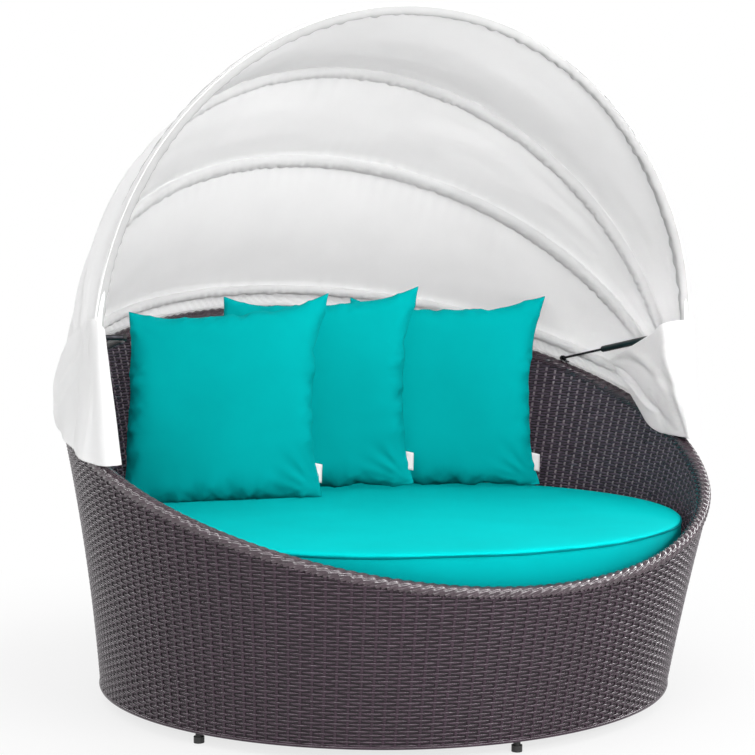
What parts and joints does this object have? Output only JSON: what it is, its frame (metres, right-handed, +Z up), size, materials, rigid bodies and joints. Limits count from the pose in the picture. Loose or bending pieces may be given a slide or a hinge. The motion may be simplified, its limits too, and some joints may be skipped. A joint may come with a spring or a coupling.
{
  "type": "outdoor daybed with canopy",
  "caption": "Round wicker outdoor daybed with a tilted rim, a round seat cushion, scatter pillows and a fabric canopy on hoops that fold back",
  "frame": {"origin": "on the floor, under the middle of the round base", "axes": "+Z up, -Y towards the open front of the seat, +X to the right of someone who faces the back"},
  "size_m": [1.6686, 1.6105, 1.6828],
  "materials": {
    "wicker": "satin",
    "wicker_inside": "satin",
    "deck": "matte",
    "frame_metal": "satin",
    "steel": "satin",
    "black_plastic": "matte",
    "black_paint": "gloss",
    "canopy_cloth": "matte",
    "seat_cloth": "matte",
    "pillow_cloth": "matte"
  },
  "bodies": {
    "frame": {"base_ring": "frame_metal", "seat_ring": "frame_metal", "rim_tube": "frame_metal", "upright_1": "frame_metal", "upright_2": "frame_metal", "upright_3": "frame_metal", "upright_4": "frame_metal", "upright_5": "frame_metal", "upright_6": "frame_metal", "upright_7": "frame_metal", "upright_8": "frame_metal", "deck_slat_1": "frame_metal", "deck_slat_2": "frame_metal", "deck_slat_3": "frame_metal", "deck_slat_4": "frame_metal", "seat_deck": "deck", "outer_weave": "wicker", "inner_weave": "wicker_inside", "rim_wrap": "wicker", "foot_1": "black_plastic", "foot_2": "black_plastic", "foot_3": "black_plastic", "foot_4": "black_plastic", "foot_5": "black_plastic", "foot_6": "black_plastic", "hinge_bracket_left": "steel", "hinge_bracket_right": "steel", "pivot_bolt_left": "steel", "pivot_bolt_right": "steel", "pivot_nut_left": "steel", "pivot_nut_right": "steel", "strut_rim_bracket_left": "steel", "strut_rim_bracket_right": "steel", "hoop_rear": "black_paint", "rear_skirt": "canopy_cloth", "hinge_flap_left": "canopy_cloth", "hinge_flap_right": "canopy_cloth"},
    "third_hoop": {"hoop_third": "black_paint", "canopy_rear_panel": "canopy_cloth"},
    "second_hoop": {"hoop_second": "black_paint", "canopy_middle_panel": "canopy_cloth"},
    "front_hoop": {"hoop_front": "black_paint", "canopy_front_panel": "canopy_cloth", "strut_hoop_stud_left": "steel", "strut_hoop_stud_right": "steel"},
    "left_cylinder": {"strut_cylinder_left": "black_paint"},
    "right_cylinder": {"strut_cylinder_right": "black_paint"},
    "left_rod": {"strut_rod_left": "steel"},
    "right_rod": {"strut_rod_right": "steel"},
    "cushion": {"seat_cushion": "seat_cloth"},
    "left_pillow": {"pillow_left": "pillow_cloth"},
    "middle_pillow": {"pillow_middle": "pillow_cloth"},
    "right_pillow": {"pillow_right": "pillow_cloth"}
  },
  "joints": [
    {"name": "canopy_fold", "type": "hinge", "parent": "frame", "child": "third_hoop", "pos_m": [0, -0.179, 0.68506], "axis": [-1, 0, 0], "range_deg": [0, 20], "deforming": ["canopy_rear_panel", "hinge_flap_left", "hinge_flap_right"]},
    {"name": "second_hoop_fold", "type": "hinge", "parent": "third_hoop", "child": "second_hoop", "pos_m": [0, -0.179, 0.68506], "axis": [-1, 0, 0], "range_deg": [0, 13.7], "deforming": ["canopy_middle_panel"]},
    {"name": "front_hoop_fold", "type": "hinge", "parent": "second_hoop", "child": "front_hoop", "pos_m": [0, -0.179, 0.68506], "axis": [-1, 0, 0], "range_deg": [0, 21.7], "deforming": ["canopy_front_panel"]},
    {"name": "left_strut_pivot", "type": "hinge", "parent": "frame", "child": "left_rod", "pos_m": [-0.72904, 0.3235, 0.822], "axis": [1, 0, 0], "range_deg": [0, 8.31]},
    {"name": "left_strut_slide", "type": "slide", "parent": "left_rod", "child": "left_cylinder", "axis": [0, 0.9906, -0.137], "range_m": [0, 0.18534]},
    {"name": "right_strut_pivot", "type": "hinge", "parent": "frame", "child": "right_rod", "pos_m": [0.72904, 0.3235, 0.822], "axis": [1, 0, 0], "range_deg": [0, 8.31]},
    {"name": "right_strut_slide", "type": "slide", "parent": "right_rod", "child": "right_cylinder", "axis": [0, 0.9906, -0.137], "range_m": [0, 0.18534]},
    {"name": "cushion_lift", "type": "slide", "parent": "frame", "child": "cushion", "axis": [0, 0, 1], "range_m": [0, 0.12]},
    {"name": "left_pillow_lift", "type": "slide", "parent": "cushion", "child": "left_pillow", "axis": [0, 0, 1], "range_m": [0, 0.08]},
    {"name": "middle_pillow_lift", "type": "slide", "parent": "cushion", "child": "middle_pillow", "axis": [0, 0, 1], "range_m": [0, 0.08]},
    {"name": "right_pillow_lift", "type": "slide", "parent": "cushion", "child": "right_pillow", "axis": [0, 0, 1], "range_m": [0, 0.08]}
  ],
  "couplings": [
    {"joint": "second_hoop_fold", "follows": "canopy_fold", "ratio": 0.685},
    {"joint": "front_hoop_fold", "follows": "canopy_fold", "ratio": 1.085},
    {"joint": "left_strut_pivot", "follows": "canopy_fold", "ratio": 0.4154},
    {"joint": "left_strut_slide", "follows": "canopy_fold", "m_per_rad": 0.5309},
    {"joint": "right_strut_pivot", "follows": "canopy_fold", "ratio": 0.4154},
    {"joint": "right_strut_slide", "follows": "canopy_fold", "m_per_rad": 0.5309}
  ]
}
